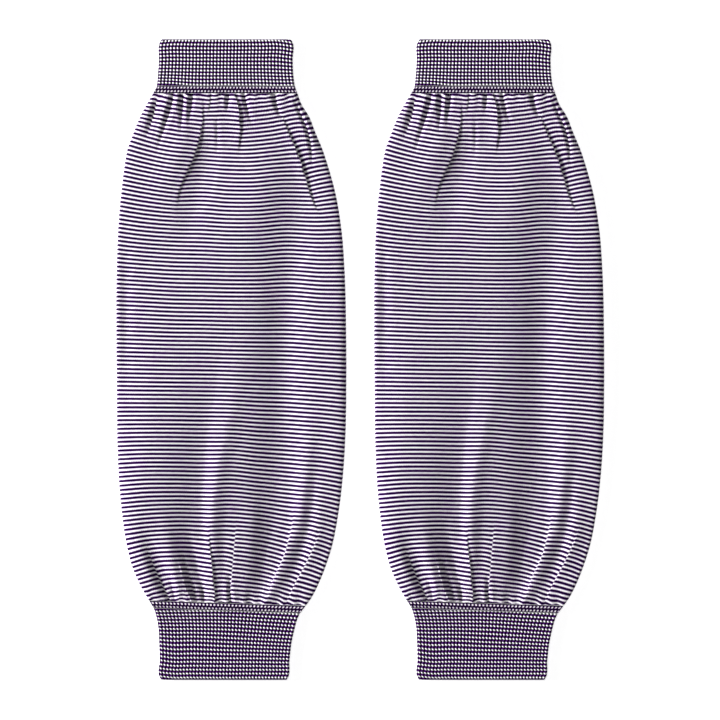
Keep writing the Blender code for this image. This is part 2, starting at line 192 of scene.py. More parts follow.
# Creases of the front layer, in mm. A crease runs from station start to station end, is deepest at
# station peak and passes x1 to x5 at five evenly spaced stations. side tells which cloth lies under:
# 1 the right one, -1 the left one, and 0 makes an even groove. width and depth are the hollow's, lift
# is how far the cloth over it swells up, step how far the stripes on the right lie below those on the
# left, and dip how far the stripes hang down at the crease.
CREASE_COLUMNS = ("start", "peak", "end", "x1", "x2", "x3", "x4", "x5", "side", "width", "depth",
                  "lift", "step", "dip")
CREASES = (
    # Fanning out of the upper gathers.
    (29, 40, 78, -34.6, -37.6, -41.0, -44.6, -48.0, 0, 1.3, 1.2, 0.4, 0.0, 0.6),
    (28, 38, 64, -28.8, -30.2, -30.6, -31.0, -31.4, 0, 1.2, 1.1, 0.3, 0.0, 0.6),
    (27, 36, 56, -23.8, -24.6, -25.2, -25.9, -26.5, 0, 1.2, 2.2, 0.2, -0.4, 0.6),
    (29, 66, 117, -18.3, -18.1, -23.4, -32.2, -33.8, 1, 1.4, 0.8, 0.5, -1.1, 0.3),
    (28, 36, 50, -13.4, -13.7, -13.8, -14.0, -14.2, 1, 1.2, 0.5, 0.2, -0.4, 0.3),
    (44, 58, 80, -8.6, -8.5, -8.4, -8.6, -9.0, 0, 1.0, 0.3, 0.2, 0.0, 0.2),
    (27, 36, 48, -2.0, -2.0, -2.1, -2.2, -2.3, 0, 1.1, 1.8, 0.2, 0.0, 0.3),
    (28, 44, 78, 1.2, 3.5, 5.1, 5.2, 2.6, 1, 1.6, 0.9, 0.9, 0.4, 0.4),
    (27, 36, 58, 7.3, 8.2, 9.8, 12.2, 16.0, 0, 1.2, 1.4, 0.2, 0.0, 0.4),
    (27, 36, 54, 26.6, 27.0, 28.0, 30.4, 34.0, 0, 1.2, 1.8, 0.2, 0.0, 0.3),
    (36, 80, 116, 27.6, 35.0, 42.6, 49.0, 58.0, 1, 2.4, 1.2, 0.6, 2.0, 0.3),
    (31, 58, 86, 36.6, 42.4, 47.8, 50.4, 50.4, 0, 0.9, 1.1, 0.3, 0.9, 0.3),
    (30, 46, 66, -44.6, -46.4, -48.6, -51.2, -54.0, 0, 2.0, 1.3, 0.3, 1.2, 0.0),
    # Fanning out of the lower gathers.
    (310, 344, 359, -54.0, -50.6, -46.0, -40.6, -33.6, 0, 1.5, 0.9, 0.2, 1.7, 0.0),
    (326, 346, 359, -40.5, -38.5, -36.6, -34.8, -33.0, 0, 1.3, 0.6, 0.3, 0.0, 0.0),
    (316, 345, 359, -31.0, -28.4, -25.4, -22.2, -18.4, 0, 1.6, 1.1, 0.3, 0.4, 0.0),
    (318, 342, 359, -35.0, -32.0, -29.0, -25.8, -22.5, -1, 1.2, 0.3, 0.5, 0.0, 0.0),
    (334, 348, 359, -18.4, -17.8, -17.2, -16.6, -16.0, 0, 1.2, 1.2, 0.2, 0.0, 0.0),
    (294, 340, 360, -13.2, -13.6, -12.6, -11.0, -8.8, 1, 2.4, 1.5, 0.3, -1.9, 0.0),
    (330, 346, 359, -1.2, -0.9, -0.5, 0.1, 0.8, 0, 1.1, 1.2, 0.3, 0.0, 0.0),
    (296, 326, 360, 3.2, 2.8, 1.8, 0.0, -2.4, -1, 1.4, 0.3, 0.3, -2.2, 0.0),
    (284, 322, 358, 39.8, 38.4, 34.2, 25.6, 19.4, -1, 1.6, 0.3, 0.3, -1.5, 0.0),
    (294, 332, 359, 57.8, 54.4, 47.6, 38.5, 31.0, -1, 1.6, 0.3, 0.3, -1.8, 0.0),
)
CREASE_DIP_REACH = 0.0035
SWELL_PLACE = 2.2

# Small waves of the gathered ends: their lengths and where each starts across, in metres, how high
# they stand, how far they shift the stripes and how far they reach into the body.
PUCKER_WAVES = ((0.0061, 0.0010), (0.0083, 0.0046), (0.0149, 0.0020))
PUCKER_HEIGHT, PUCKER_HANG, PUCKER_REACH = 0.0005, 0.0007, 0.0045

# How far the soft folds draw the stripes towards the nearer cuff, as a share of their height, and
# the stations between which the upper end's pull gives way to the lower end's.
FOLD_PULL = 0.10
PULL_TURNS = (0.110, 0.280)

# Broad soft folds along the body, in mm, each falling away over its own width on either side. A
# positive depth is a trough and a negative one a ridge.
SOFT_COLUMNS = ("start", "peak", "end", "x1", "x2", "x3", "x4", "x5", "left", "right", "depth")
SOFT_FOLDS = (
    # Down the whole body, and the ridge and trough on its left.
    (54, 180, 362, 50.0, 39.0, 34.0, 32.0, 23.0, 16.0, 10.5, 2.7),
    (190, 320, 364, 38.0, 35.5, 34.0, 29.0, 16.0, 24.0, 26.0, 2.4),
    (175, 295, 360, 9.0, 2.0, -8.0, -13.0, -9.4, 3.2, 6.0, -0.9),
    (170, 300, 358, -4.0, -10.0, -16.8, -18.0, -12.5, 14.0, 4.0, 1.6),
    (120, 280, 358, -38.0, -47.0, -52.0, -56.0, -48.0, 12.0, 26.0, -1.7),
    (88, 170, 245, -64.5, -65.0, -65.0, -65.0, -65.0, 4.0, 3.0, 0.7),
    (90, 190, 310, 66.0, 68.0, 69.0, 68.0, 64.0, 14.0, 4.0, -0.4),
    # Below the upper gathers.
    (52, 88, 145, -10.0, -15.0, -21.0, -27.0, -40.0, 10.0, 7.0, 1.1),
    (48, 90, 165, 22.0, 20.0, 14.0, 4.0, -4.0, 17.0, 15.0, -1.2),
    (42, 66, 112, -34.0, -30.0, -34.0, -42.0, -42.0, 11.0, 8.0, -1.4),
    # Above the lower gathers.
    (215, 290, 340, 50.0, 48.0, 45.0, 40.5, 29.0, 4.6, 6.0, -1.6),
    (300, 335, 360, 41.6, 36.8, 31.6, 24.6, 16.5, 2.4, 5.0, -1.4),
    (250, 312, 352, 58.0, 55.8, 54.0, 47.3, 33.0, 2.6, 5.0, -0.8),
    (265, 315, 356, 53.0, 50.5, 46.6, 40.0, 31.0, 4.0, 3.0, 0.6),
    (272, 312, 362, 14.0, 13.4, 12.0, 9.0, 5.0, 7.0, 5.5, -0.9),
    (288, 325, 358, -3.0, -4.6, -5.2, -5.2, -5.5, 5.0, 4.0, 0.7),
    (296, 340, 362, -53.0, -50.0, -44.4, -38.2, -31.0, 6.5, 4.5, 2.0),
    (290, 338, 362, -30.0, -26.5, -22.5, -19.5, -16.0, 7.0, 2.8, 1.3),
    (300, 340, 362, -22.0, -20.5, -18.5, -16.5, -14.5, 6.0, 2.2, 0.8),
    (300, 338, 360, -61.0, -58.0, -53.6, -47.6, -40.0, 3.0, 4.0, -0.5),
    (285, 330, 358, -43.0, -40.5, -37.5, -34.0, -29.5, 4.5, 4.5, -0.7),
    (290, 334, 362, 32.0, 31.0, 26.0, 18.0, 11.0, 7.0, 4.0, 1.0),
)

# How far a course of the body hangs below its level, in mm: a row's first number is its station, and
# the others are the sag at these shares of the width.
BODY_SAG_SHARES = (0.0, 0.10, 0.25, 0.375, 0.50, 0.625, 0.75, 0.90, 1.0)
BODY_SAG = (
    (38.0, -4.4, -3.1, -0.6, 1.2, 0.8, 1.2, 0.6, -1.7, -4.6),
    (58.0, -6.4, -3.4, 0.1, 0.8, 1.2, 1.6, 0.4, -2.3, -2.2),
    (88.0, -5.4, -2.9, 0.0, -0.4, 1.1, 1.4, -0.1, -0.7, -2.1),
    (118.0, -4.2, -2.3, -0.6, -0.2, 0.8, 0.7, -0.8, 0.0, -0.5),
    (158.0, -2.8, -2.0, -0.8, -0.4, 0.0, 0.0, -0.7, 0.9, 1.1),
    (198.0, -1.8, -1.4, -0.9, -0.7, -0.2, 0.2, 0.6, 2.0, 2.8),
    (237.0, -0.6, -0.8, -0.7, -0.3, -0.1, 1.2, 2.1, 3.4, 4.9),
    (277.0, 1.3, 0.1, 0.0, 0.6, 0.1, 2.0, 3.9, 5.3, 7.5),
    (307.0, 3.3, 1.5, 0.4, 0.9, 0.5, 1.8, 4.5, 6.0, 9.3),
    (327.0, 6.3, 2.9, 1.4, 1.7, 0.6, 2.2, 4.4, 5.9, 9.7),
    (347.0, 7.0, 4.3, 2.4, 2.6, 1.8, 2.2, 3.3, 6.8, 8.6),
)

# Steps round the body, across the front, round a side fold and across the back, how often the sag is
# worked out, how many rings the inner face has, and how many steps of the outer face one step of the
# inner face takes in. The inner face lies a wall under the lowest cloth within these places, in mm.
# Points closer than SAME_POINT are one, and edges over SHARP_ANGLE degrees stay sharp.
BODY_STEPS = (152, 4, 16)
SAG_ROUNDS = 6
BODY_INSIDE_RINGS = 100
INSIDE_STEP = 2
NEAR_ACROSS, NEAR_ALONG = (-1.2, -0.6, 0.0, 0.6, 1.2), (-2.0, 0.0, 2.0)
SAME_POINT = 1e-9
SHARP_ANGLE = 75

# How the columns of the front are drawn to the creases, the form of a flap's edge, and how far from
# a crease its step in the stripes dies away.
DRAWN_SHARE, DRAWN_REACH = 0.72, 0.0024
FLAP_EDGE, FLAP_REACH, FLAP_OVERHANG = 0.0005, 0.0035, 0.0013
STEP_REACH = 0.009


def columns_of(rows, names):
    """The columns of a table in mm as a dict of arrays in metres."""
    return dict(zip(names, np.array(rows, float).T * MM))


def smooth_through(at, places, values):
    """A smooth curve through the points (places, values), read at the places at: cubic pieces whose
    slope at each point is the mean of the slopes to its two neighbours, the nearer counting more."""
    slopes = np.gradient(values, places)
    at = np.clip(at, places[0], places[-1])
    i = np.clip(np.searchsorted(places, at) - 1, 0, len(places) - 2)
    span = places[i + 1] - places[i]
    t = (at - places[i]) / span
    return (values[i] * (1 + 2 * t) * (1 - t) ** 2 + slopes[i] * span * t * (1 - t) ** 2
            + values[i + 1] * t * t * (3 - 2 * t) - slopes[i + 1] * span * t * t * (1 - t))


def ease(t):
    """0 up to t = 0, 1 from t = 1, and t * t * (3 - 2 * t) between them."""
    t = np.clip(t, 0, 1)
    return t * t * (3 - 2 * t)


def off_edges(across):
    """0 at the side folds and 1 from the edge's share inwards."""
    return ease((1 - np.abs(across)) / EDGE_SHARE)


def past_flap(distance):
    """0 on a flap and 1 past its edge, which is as wide as two flap edges."""
    return ease(distance / (2 * FLAP_EDGE) + 0.5)


OUTLINE_OF = columns_of(OUTLINE, OUTLINE_COLUMNS)
LOFT_OF = columns_of(LOFT, LOFT_COLUMNS)
CREASES_OF = [columns_of(row, CREASE_COLUMNS) for row in CREASES]
SOFT_OF = [columns_of(row, SOFT_COLUMNS) for row in SOFT_FOLDS]


def outline(station, column):
    """The left or the right edge of the sleeve, or its skew, at each station."""
    return smooth_through(station, OUTLINE_OF["station"], OUTLINE_OF[column])


def loft(station, column):
    """The height of a side fold, or the rise of the front, at each station."""
    return smooth_through(station, LOFT_OF["station"], LOFT_OF[column])


def edge_line(station, share):
    """Height of the straight line from the left side fold, at share 0, to the right one, at 1."""
    return loft(station, "left") * (1 - share) + loft(station, "right") * share


def body_edge(station):
    """Height of the line between the side folds at every column of the front, or of whole rings."""
    front, side, back = BODY_STEPS
    share = np.linspace(0, 1, front + 1)
    if station.shape[-1] > len(share):
        returning = np.linspace(1, 0, back + 1)
        share = np.concatenate([share, np.ones(side - 1), returning, np.zeros(side - 1)])
    return edge_line(station, share)


def across_of(x, station):
    """-1 at the left edge of the sleeve and 1 at its right edge."""
    left, right = outline(station, "left"), outline(station, "right")
    return np.clip((2 * x - left - right) / (right - left), -1, 1)


def fold_line(fold, station):
    """Where the middle of a fold lies across the sleeve."""
    share = np.clip((station - fold["start"]) / (fold["end"] - fold["start"]), 0, 1)
    points = np.array([fold["x%d" % n] for n in range(1, 6)])
    return smooth_through(share, np.linspace(0, 1, 5), points)


def fold_strength(fold, station):
    """0 at both ends of a fold and 1 at its peak."""
    rise = ease((station - fold["start"]) / (fold["peak"] - fold["start"]))
    fall = ease((fold["end"] - station) / (fold["end"] - fold["peak"]))
    return rise * fall


def crease_height(crease, x, station):
    """Height that one crease adds. An even groove is -depth * exp(-q ** 1.5) between two swells of
    lift * exp(-(q - swell place) ** 2 / 2), with q the distance over the width. In a lapped crease
    the flap swells by lift * exp(-(distance / reach) ** 2) and drops at its edge, and the cloth under
    it rises from -depth by exp(-q)."""
    off = x - fold_line(crease, station)
    side = np.sign(crease["side"])
    if side == 0:
        q = np.abs(off) / crease["width"]
        swell = crease["lift"] * np.exp(-(q - SWELL_PLACE) ** 2 / 2)
        shape = swell - crease["depth"] * np.exp(-q ** 1.5)
    else:
        under = off * side
        below = past_flap(under)
        flap = crease["lift"] * np.exp(-(under / FLAP_REACH) ** 2)
        hollow = crease["depth"] * np.exp(-np.maximum(under, 0) / crease["width"])
        shape = flap * (1 - below) - hollow * below
    return fold_strength(crease, station) * shape


def soft_height(x, station):
    """Height that the broad soft folds and the small puckers at both ends add."""
    folds = PUCKER_HEIGHT * puckers(x, station)
    for soft in SOFT_OF:
        off = x - fold_line(soft, station)
        t = off / np.where(off < 0, soft["left"], soft["right"])
        folds = folds - fold_strength(soft, station) * soft["depth"] * np.exp(-t * t)
    return folds


def puckers(x, station):
    """Uneven waves of the gathered ends, from -1 to 1, that die away over the pucker reach."""
    from_end = np.minimum(station - BODY_FROM, BODY_TO - station)
    waves = sum(np.sin(2 * np.pi * (x - start) / length) for length, start in PUCKER_WAVES)
    return waves / len(PUCKER_WAVES) * np.exp(-np.maximum(from_end, 0) / PUCKER_REACH)


def body_top(x, station):
    """Height of the body's front: a low crown between the side folds with the folds added, held
    between the back layer and the highest fold."""
    across = across_of(x, station)
    crown = (1 - across ** CROWN_POWERS[0]) ** CROWN_POWERS[1]
    folds = soft_height(x, station) + sum(crease_height(crease, x, station) for crease in CREASES_OF)
    bare = edge_line(station, (across + 1) / 2) + loft(station, "rise") * crown
    return np.clip(bare + folds * off_edges(across), 2 * BODY_WALL + LAYER_GAP, BODY_HIGHEST)


def drawn_to_creases(x, station):
    """Moves the columns of the front towards the creases by a share of their distance that falls
    off as exp(-(distance / reach) ** 2), so that they stand closest where the cloth bends most."""
    moved = x.copy()
    for crease in CREASES_OF:
        off = x - fold_line(crease, station)
        pull = DRAWN_SHARE * np.sqrt(fold_strength(crease, station))
        moved -= pull * off * np.exp(-(off / DRAWN_REACH) ** 2)
    return moved


def flap_overhang(x, station):
    """How far the edge of each lapped flap leans out over the cloth under it: the whole overhang at
    its edge, dying away into the flap."""
    lean = np.zeros_like(x)
    for crease in CREASES_OF:
        side = np.sign(crease["side"])
        under = (x - fold_line(crease, station)) * side
        flap = np.exp(-(np.minimum(under, 0) / FLAP_REACH) ** 2)
        above = 1 - past_flap(under)
        lean += side * FLAP_OVERHANG * fold_strength(crease, station) * flap * above
    return lean


def table_sag(rows, shares):
    """A function of x and station that reads a sag table smoothly both ways. A row of the table
    holds its station and then the sag at each share of the width."""
    stations, grid = np.array(rows)[:, 0] * MM, np.array(rows)[:, 1:] * MM

    def basis(at, places):
        return np.stack([smooth_through(at, places, unit) for unit in np.eye(len(places))], axis=-1)

    def sag(x, station):
        down = basis(station, stations)
        across = basis((across_of(x, station) + 1) / 2, np.array(shares))
        return np.einsum("...i,ij,...j", down, grid, across)

    return sag


smooth_body_sag = table_sag(BODY_SAG, BODY_SAG_SHARES)


def stepped_sag(x, station):
    """The body's sag, with what the soft folds and the puckers draw the stripes to the cuffs, the
    step at each crease, which dies away on its lower side alone, and the dip at the crease."""
    pull = 2 * ease((station - PULL_TURNS[0]) / (PULL_TURNS[1] - PULL_TURNS[0])) - 1
    inside = off_edges(across_of(x, station))
    sag = smooth_body_sag(x, station) + FOLD_PULL * pull * inside * soft_height(x, station)
    sag = sag + PUCKER_HANG * inside * puckers(x, station)
    for crease in CREASES_OF:
        off = x - fold_line(crease, station)
        lower = off * np.sign(crease["step"])
        step = past_flap(lower) * np.exp(-np.maximum(lower, 0) / STEP_REACH)
        dip = np.exp(-(off / CREASE_DIP_REACH) ** 2)
        hanging = np.abs(crease["step"]) * step + crease["dip"] * dip
        sag = sag + fold_strength(crease, station) * hanging
    return sag


def split_round(values, steps):
    """The columns of a ring grid as its front, right side fold, back and left side fold."""
    front, side, back = steps
    return np.split(values, np.cumsum([front + 1, side - 1, back + 1]), axis=-1)


def front_places(station, steps, edge_height):
    """Evenly spaced places across the front, between the side folds."""
    front = split_round(station, steps)[0]
    fold = FOLD_PRESSED * edge_height(front) / 2
    left, right = outline(front, "left") + fold, outline(front, "right") - fold
    return left + (right - left) * np.linspace(0, 1, steps[0] + 1)


def drawn_places(station, steps, edge_height):
    """Places across the front, closer together at the creases."""
    even = front_places(station, steps, edge_height)
    return drawn_to_creases(even, split_round(station, steps)[0])


def hang_round(station, steps, edge_height, places, sag):
    """How far below its level a course hangs at each point of its ring: by its sag on the front,
    and evenly from one edge to the other on the back."""
    front = split_round(station, steps)[0]
    front_hang = sag(places(station, steps, edge_height), front)
    share = np.linspace(1, 0, station.shape[1] - front.shape[1] + 2)[1:-1]
    back_hang = front_hang[:, -1:] * share + front_hang[:, :1] * (1 - share)
    return np.concatenate([front_hang, back_hang], axis=1)


def course_stations(level, steps, ends, edge_height, places, sag):
    """The station of every point of rings that follow their courses. A course that would run past
    an end of the tube is cut off there. The sag is read where the course hangs to, so it is worked
    out a few times over."""
    around = sum(steps) + steps[1]
    station = np.clip(np.repeat(level[:, None], around, axis=1), *ends)
    for _ in range(SAG_ROUNDS):
        hang = hang_round(station, steps, edge_height, places, sag)
        station = np.clip(level[:, None] + hang, *ends)
    return station


def tube_points(station, steps, edge_height, front_x, front_z, inset, relief):
    """Points of a tube that lies flat, a row for each ring and a column for each place round it.

    The front lies at front_x and front_z, each side fold is half a flat ellipse as high as the edge,
    and the back lies level on the table. inset is 0 for the outer face and the wall's thickness for
    the inner one, and relief, which is 0 or less, raises or sinks each point square to the cloth."""
    height = edge_height(station)
    reliefs = split_round(relief + 0 * station, steps)
    halves = split_round(height / 2, steps)
    lefts = split_round(outline(station, "left") + FOLD_PRESSED * height / 2, steps)
    rights = split_round(outline(station, "right") - FOLD_PRESSED * height / 2, steps)
    turn = np.linspace(np.pi / 2, -np.pi / 2, steps[1] + 1)[1:-1]
    right_radius = halves[1] - inset + reliefs[1]
    left_radius = halves[3] - inset + reliefs[3]
    x = np.concatenate([
        front_x,
        rights[1] + FOLD_PRESSED * right_radius * np.cos(turn),
        rights[2] + (lefts[2] - rights[2]) * np.linspace(0, 1, steps[2] + 1),
        lefts[3] - FOLD_PRESSED * left_radius * np.cos(turn),
    ], axis=1)
    front_z = front_z + reliefs[0]
    front_z[:, [0, -1]] = (2 * halves[0] - inset + reliefs[0])[:, [0, -1]]
    z = np.concatenate([
        front_z,
        halves[1] + right_radius * np.sin(turn),
        inset - reliefs[2],
        halves[3] - left_radius * np.sin(turn),
    ], axis=1)
    y = SLEEVE_LENGTH / 2 - station - outline(station, "skew") * across_of(x, station)
    return np.stack([x, y, z], axis=-1)


def wales_round(points, wales):
    """The wale at each point of a ring grid, counted evenly along the cloth from the left side fold
    over the front, with one more column than there are points round a ring."""
    closed = np.concatenate([points, points[:, :1]], axis=1)
    steps = np.linalg.norm(np.diff(closed[..., [0, 2]], axis=1), axis=2)
    run = np.concatenate([np.zeros((len(points), 1)), np.cumsum(steps, axis=1)], axis=1)
    return wales * run / run[:, -1:]


def closed_knit(wale, pair):
    """Wale and stripe pair at every point, with the first column repeated at the end."""
    return np.stack([wale, np.concatenate([pair, pair[:, :1]], axis=1)], axis=-1)


def shell_mesh(name, outer, outer_knit, inner, inner_knit, material):
    """A closed shell of cloth: an outer and an inner ring grid, joined by a rim at each end. Of the
    inner columns only every INSIDE_STEP-th is kept. Rings that were cut off at an end share that
    end's points, so their faces there become triangles or vanish. The knit arrays become the UV
    map."""
    inner, inner_knit = inner[:, ::INSIDE_STEP], inner_knit[:, ::INSIDE_STEP]
    rings, around = outer.shape[:2]
    fresh = np.ones((rings, around), bool)
    fresh[1:] = np.abs(np.diff(outer, axis=0)).max(axis=2) > SAME_POINT
    row = np.maximum.accumulate(np.where(fresh, np.arange(rings)[:, None], 0), axis=0)
    outer_at = row * around + np.arange(around)
    inner_at = rings * around + np.arange(inner.shape[0] * inner.shape[1]).reshape(inner.shape[:2])
    outer_at = np.concatenate([outer_at, outer_at[:, :1]], axis=1)
    inner_at = np.concatenate([inner_at, inner_at[:, :1]], axis=1)

    faces, loops = [], []

    def add(numbers, knit, corners):
        """Faces whose corners are read from a grid of point numbers, without repeated corners."""
        face = np.stack([numbers[c] for c in corners], axis=-1).reshape(-1, len(corners))
        face_knit = np.stack([knit[c] for c in corners], axis=-2).reshape(-1, len(corners), 2)
        kept = face != np.roll(face, -1, axis=1)
        for count in range(3, len(corners) + 1):
            some = kept.sum(axis=1) == count
            faces.extend(face[some][kept[some]].reshape(-1, count).tolist())
            loops.append(face_knit[some][kept[some]])

    here, there = slice(None, -1), slice(1, None)
    outward = [(here, here), (there, here), (there, there), (here, there)]
    add(outer_at, outer_knit, outward)
    add(inner_at, inner_knit, outward[::-1])
    for end, order in ((0, 1), (-1, -1)):
        rim_at = np.concatenate([outer_at[end], inner_at[end]])
        rim_knit = np.concatenate([outer_knit[end], inner_knit[end]])
        inside = len(outer_at[end]) + np.arange(inner_at.shape[1] - 1)
        outside = INSIDE_STEP * np.arange(inner_at.shape[1] - 1)
        for step in range(INSIDE_STEP):
            add(rim_at, rim_knit, [outside + step, outside + step + 1, inside][::order])
        add(rim_at, rim_knit, [outside + INSIDE_STEP, inside + 1, inside][::order])

    points = np.concatenate([outer.reshape(-1, 3), inner.reshape(-1, 3)])
    used, corners = np.unique(np.concatenate([np.array(f) for f in faces]), return_inverse=True)
    sizes = np.array([len(f) for f in faces])
    mesh = bpy.data.meshes.new(name)
    mesh.vertices.add(len(used))
    mesh.vertices.foreach_set("co", points[used].ravel())
    mesh.loops.add(len(corners))
    mesh.loops.foreach_set("vertex_index", corners.astype(np.int32))
    mesh.polygons.add(len(sizes))
    mesh.polygons.foreach_set("loop_start", (np.cumsum(sizes) - sizes).astype(np.int32))
    mesh.uv_layers.new(name="knit").data.foreach_set("uv", np.concatenate(loops).ravel())
    mesh.update(calc_edges=True)
    mesh.validate()
    mesh.shade_smooth()
    mesh.set_sharp_from_angle(angle=np.radians(SHARP_ANGLE))
    mesh.materials.append(material)
    return mesh


def place_pair(part, mesh):
    """The left and the right piece made from one sleeve's mesh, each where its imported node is."""
    pieces = {}
    for side in ("left", "right"):
        low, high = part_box(side + "_body")
        middle = (low.x + high.x - OUTLINE_OF["left"].min() - OUTLINE_OF["right"].max()) / 2
        own = mesh.copy()
        own.transform(Matrix.Translation((middle, 0, 0)))
        node = side + "_" + part
        piece = bpy.data.objects.new(node + "_knit", own)
        scene.collection.objects.link(piece)
        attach(piece, "root")
        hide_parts(node)
        pieces[side] = piece
    return pieces


# Where a Mix node has its factor, its two colours and its result.
MIX_FACTOR, MIX_FIRST, MIX_OTHER, MIX_RESULT = 0, 6, 7, 2


class Wire:
    """One socket of a material's nodes. Arithmetic on it adds Math nodes, and node() any other."""

    def __init__(self, tree, socket):
        self.tree = tree
        self.socket = socket

    def node(self, kind, settings, sockets, output=0):
        """A new node of this kind, with its settings made first and then its sockets fed."""
        made = self.tree.nodes.new(kind)
        for name, value in settings.items():
            setattr(made, name, value)
        for name, value in sockets.items():
            if isinstance(value, Wire):
                self.tree.links.new(value.socket, made.inputs[name])
            else:
                made.inputs[name].default_value = value
        return Wire(self.tree, made.outputs[output])

    def maths(self, operation, *values):
        """One Math node on these values, or on this wire where none is given."""
        values = values or (self,)
        return self.node("ShaderNodeMath", {"operation": operation}, dict(enumerate(values)))

    def __add__(self, other):
        return self.maths("ADD", self, other)

    def __sub__(self, other):
        return self.maths("SUBTRACT", self, other)

    def __rsub__(self, other):
        return self.maths("SUBTRACT", other, self)

    def __mul__(self, other):
        return self.maths("MULTIPLY", self, other)

    __radd__ = __add__
    __rmul__ = __mul__

    def off_middle(self):
        """0 half way between two whole numbers and 0.5 at them."""
        return (self.maths("FRACT") - 0.5).maths("ABSOLUTE")

    def between(self, low, high):
        """0 below low, 1 above high, and a smooth step between them."""
        return self.node("ShaderNodeMapRange", {"interpolation_type": "SMOOTHSTEP"},
                         {"Value": self, "From Min": low, "From Max": high})

    def noise(self, scale, detail):
        """Fractal noise round 0 at this coordinate."""
        return self.node("ShaderNodeTexNoise", {},
                         {"Vector": self, "Scale": scale, "Detail": detail}) - 0.5

    def blend(self, colour, other):
        """The first colour where this is 0 and the other one where it is 1."""
        return self.node("ShaderNodeMix", {"data_type": "RGBA"},
                         {MIX_FACTOR: self, MIX_FIRST: colour, MIX_OTHER: other}, output=MIX_RESULT)


# The cotton yarns: dark purple with a brighter edge where a white course shines through, and white
# that is shaded in the grooves. The fibres are finer than a stitch, and the drift is as wide as a few.
PURPLE_YARN = (0.004, 0.0001, 0.018, 1.0)
PURPLE_LIGHT = (0.014, 0.0003, 0.040, 1.0)
PURPLE_EDGE = (0.150, 0.006, 0.270, 1.0)
WHITE_YARN = (0.95, 0.95, 0.94, 1.0)
WHITE_SHADE = (0.64, 0.58, 0.66, 1.0)
YARN_ROUGHNESS = 0.92
YARN_SPECULAR = 0.05
FIBRE_SCALE, DRIFT_SCALE, NOISE_DETAIL = 1400.0, 90.0, 2.0

# The plain stitches: how far their legs and fibres shift a course, as a share of a pair, how far
# inside and outside the purple's edge its colours blend, where a groove between two wales starts and
# ends, as a share of a wale, how strongly grooves and fibres shade the white, and how high the bump is.
LEG_SHIFT, FIBRE_SHIFT = 0.22, 0.16
WHITE_BLEND, EDGE_BLEND = (-0.06, 0.08), (-0.16, 0.0)
GROOVE_EDGES = (0.38, 0.5)
SHADE_GROOVE, SHADE_FIBRES, SHADE_EDGES = 0.5, 0.8, (0.0, 0.9)
LIGHT_EDGES = (-0.05, 0.35)
STITCH_RIDGE, STITCH_GROOVE, STITCH_FIBRES = 1.2, 0.5, 0.5
BODY_BUMP = 0.0003


def yarn_material(name):
    """A new material with the matt finish that all the cotton yarn shares, and the wires that its
    knit follows: wale, stripe pair and place."""
    material = bpy.data.materials.new(name)
    material.use_nodes = True
    tree = material.node_tree
    shader = tree.nodes["Principled BSDF"]
    shader.inputs["Roughness"].default_value = YARN_ROUGHNESS
    shader.inputs["Specular IOR Level"].default_value = YARN_SPECULAR
    start = Wire(tree, None)
    knit = start.node("ShaderNodeUVMap", {"uv_map": "knit"}, {})
    wale = start.node("ShaderNodeSeparateXYZ", {}, {"Vector": knit}, output=0)
    pair = start.node("ShaderNodeSeparateXYZ", {}, {"Vector": knit}, output=1)
    place = start.node("ShaderNodeTexCoord", {}, {}, output=3)
    return material, wale, pair, place


def finish_yarn(material, colour, height, depth):
    """Feeds the colour, and the height of the stitches as a bump."""
    bump = height.node("ShaderNodeBump", {}, {"Height": height, "Distance": depth})
    shader = material.node_tree.nodes["Principled BSDF"]
    material.node_tree.links.new(colour.socket, shader.inputs["Base Color"])
    material.node_tree.links.new(bump.socket, shader.inputs["Normal"])
    return material


def striped_knit():
    """Plain knit whose courses are purple and white in turn. A course is a row of V stitches, so its
    middle is shifted by a triangle wave along the wales, which also notches the stripes' edges."""
    material, wale, pair, place = yarn_material("striped_knit")
    fibres = place.noise(FIBRE_SCALE, NOISE_DETAIL)
    drift = place.noise(DRIFT_SCALE, NOISE_DETAIL)
    leg = wale.off_middle()
    course = pair + leg * LEG_SHIFT + fibres * FIBRE_SHIFT
    off_purple = 0.5 - (course + 0.5).off_middle()
    white = off_purple.between(*(PURPLE_SHARE / 2 + blend for blend in WHITE_BLEND))
    edge = off_purple.between(*(PURPLE_SHARE / 2 + blend for blend in EDGE_BLEND))
    groove = leg.between(*GROOVE_EDGES)
    shade = (groove * SHADE_GROOVE + drift + fibres * SHADE_FIBRES).between(*SHADE_EDGES)
    purple = (fibres + drift).between(*LIGHT_EDGES).blend(PURPLE_YARN, PURPLE_LIGHT)
    purple = edge.blend(purple, PURPLE_EDGE)
    colour = white.blend(purple, shade.blend(WHITE_YARN, WHITE_SHADE))
    ridge = 0.5 - (course * 2.0 + 0.5).off_middle()
    height = ridge * STITCH_RIDGE - groove * STITCH_GROOVE + fibres * STITCH_FIBRES
    return finish_yarn(material, colour, height, BODY_BUMP)


def body_relief(pair):
    """How far the cloth sinks between two courses, on rings in and between the courses."""
    return COURSE_RELIEF * (np.cos(4 * np.pi * pair) - 1) / 2


def body_courses(station):
    """The stripe pair at every point of the body's rings, and the front's stations and places."""
    hang = hang_round(station, BODY_STEPS, body_edge, drawn_places, stepped_sag)
    pair = (station - hang - FIRST_PAIR) / PAIR_PITCH
    return pair, split_round(station, BODY_STEPS)[0], drawn_places(station, BODY_STEPS, body_edge)


